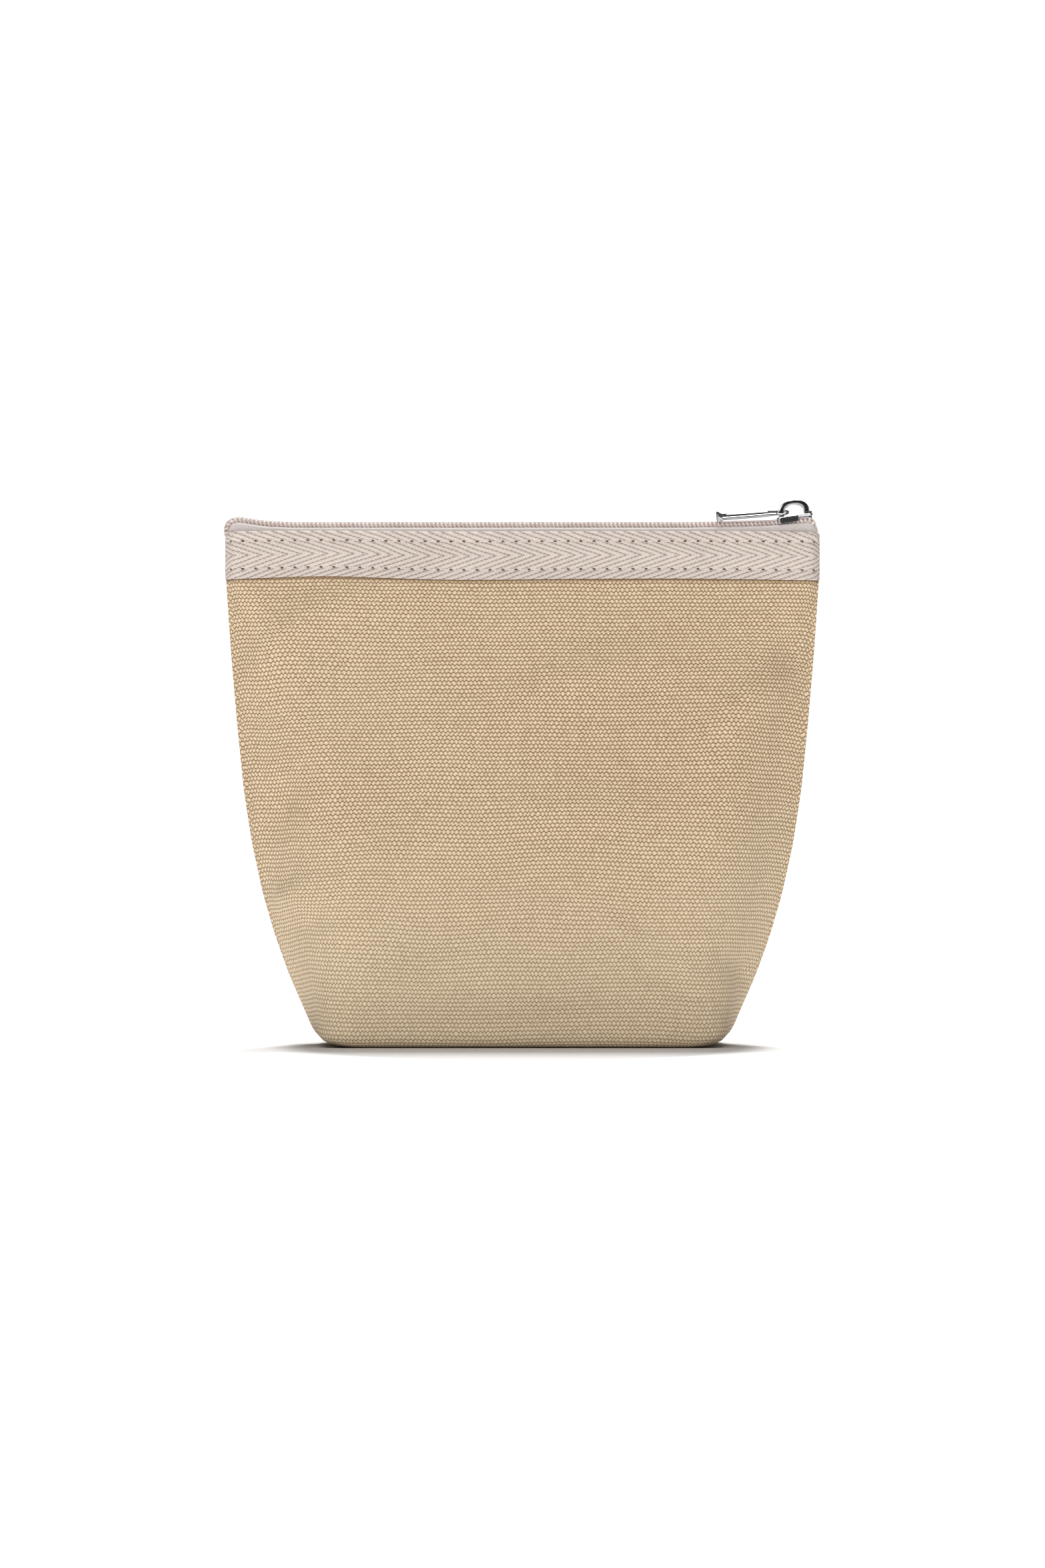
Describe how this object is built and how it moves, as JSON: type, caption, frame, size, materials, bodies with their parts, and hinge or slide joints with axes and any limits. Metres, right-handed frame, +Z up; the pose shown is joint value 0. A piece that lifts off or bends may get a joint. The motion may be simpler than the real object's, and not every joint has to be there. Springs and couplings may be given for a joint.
{
  "type": "zipped canvas pouch",
  "caption": "Stand-up canvas pouch with a boxed base, a herringbone tape band round its mouth and a coil zip whose slider carries a bar pull.",
  "frame": {"origin": "centre of the base's underside, on the surface it stands on", "axes": "+Z up; +X along the zip towards the closed slider's end; the front faces -Y"},
  "size_m": [0.1868, 0.0556, 0.1703],
  "materials": {
    "canvas": "matte plain-weave cotton canvas",
    "herringbone_tape": "matte herringbone cotton tape",
    "thread": "matte spun thread",
    "binding_tape": "matte cotton binding",
    "zip_tape": "fine woven polyester tape",
    "nylon_coil": "satin nylon monofilament",
    "slider_metal": "polished dark nickel plate",
    "tab_metal": "polished dark nickel plate"
  },
  "bodies": {
    "root": {"base_panel": "canvas", "left_side_binding": "binding_tape", "right_side_binding": "binding_tape", "left_corner_binding": "binding_tape", "right_corner_binding": "binding_tape", "left_zip_end": "zip_tape", "right_zip_end": "zip_tape"},
    "front_wall": {"front_panel": "canvas", "front_band": "herringbone_tape", "front_lower_stitches": "thread", "front_upper_stitches": "thread", "front_zip_tape": "zip_tape", "front_zip_coil": "nylon_coil", "front_coil_cord": "thread"},
    "back_wall": {"back_panel": "canvas", "back_band": "herringbone_tape", "back_lower_stitches": "thread", "back_upper_stitches": "thread", "back_zip_tape": "zip_tape", "back_zip_coil": "nylon_coil", "back_coil_cord": "thread"},
    "slider": {"slider_body": "slider_metal", "slider_bail": "slider_metal"},
    "pull_tab": {"pull_tab": "tab_metal"}
  },
  "joints": [
    {"name": "slider_slide", "type": "slide", "parent": "root", "child": "slider", "axis": [-1, 0, 0], "range_m": [0, 0.165]},
    {"name": "front_mouth", "type": "hinge", "parent": "root", "child": "front_wall", "pos_m": [0, -0.0275, 0.001], "axis": [1, 0, 0], "range_deg": [0, 9.5], "deforming": ["front_zip_tape", "front_zip_coil", "front_coil_cord"]},
    {"name": "back_mouth", "type": "hinge", "parent": "root", "child": "back_wall", "pos_m": [0, 0.0275, 0.001], "axis": [-1, 0, 0], "range_deg": [0, 9.5], "deforming": ["back_zip_tape", "back_zip_coil", "back_coil_cord"]},
    {"name": "tab_swing", "type": "hinge", "parent": "slider", "child": "pull_tab", "pos_m": [0.0849, 0, 0.1659], "axis": [0, 1, 0], "range_deg": [0, 150]}
  ],
  "couplings": [
    {"joint": "front_mouth", "follows": "slider_slide", "rad_per_m": 1},
    {"joint": "back_mouth", "follows": "slider_slide", "rad_per_m": 1}
  ]
}
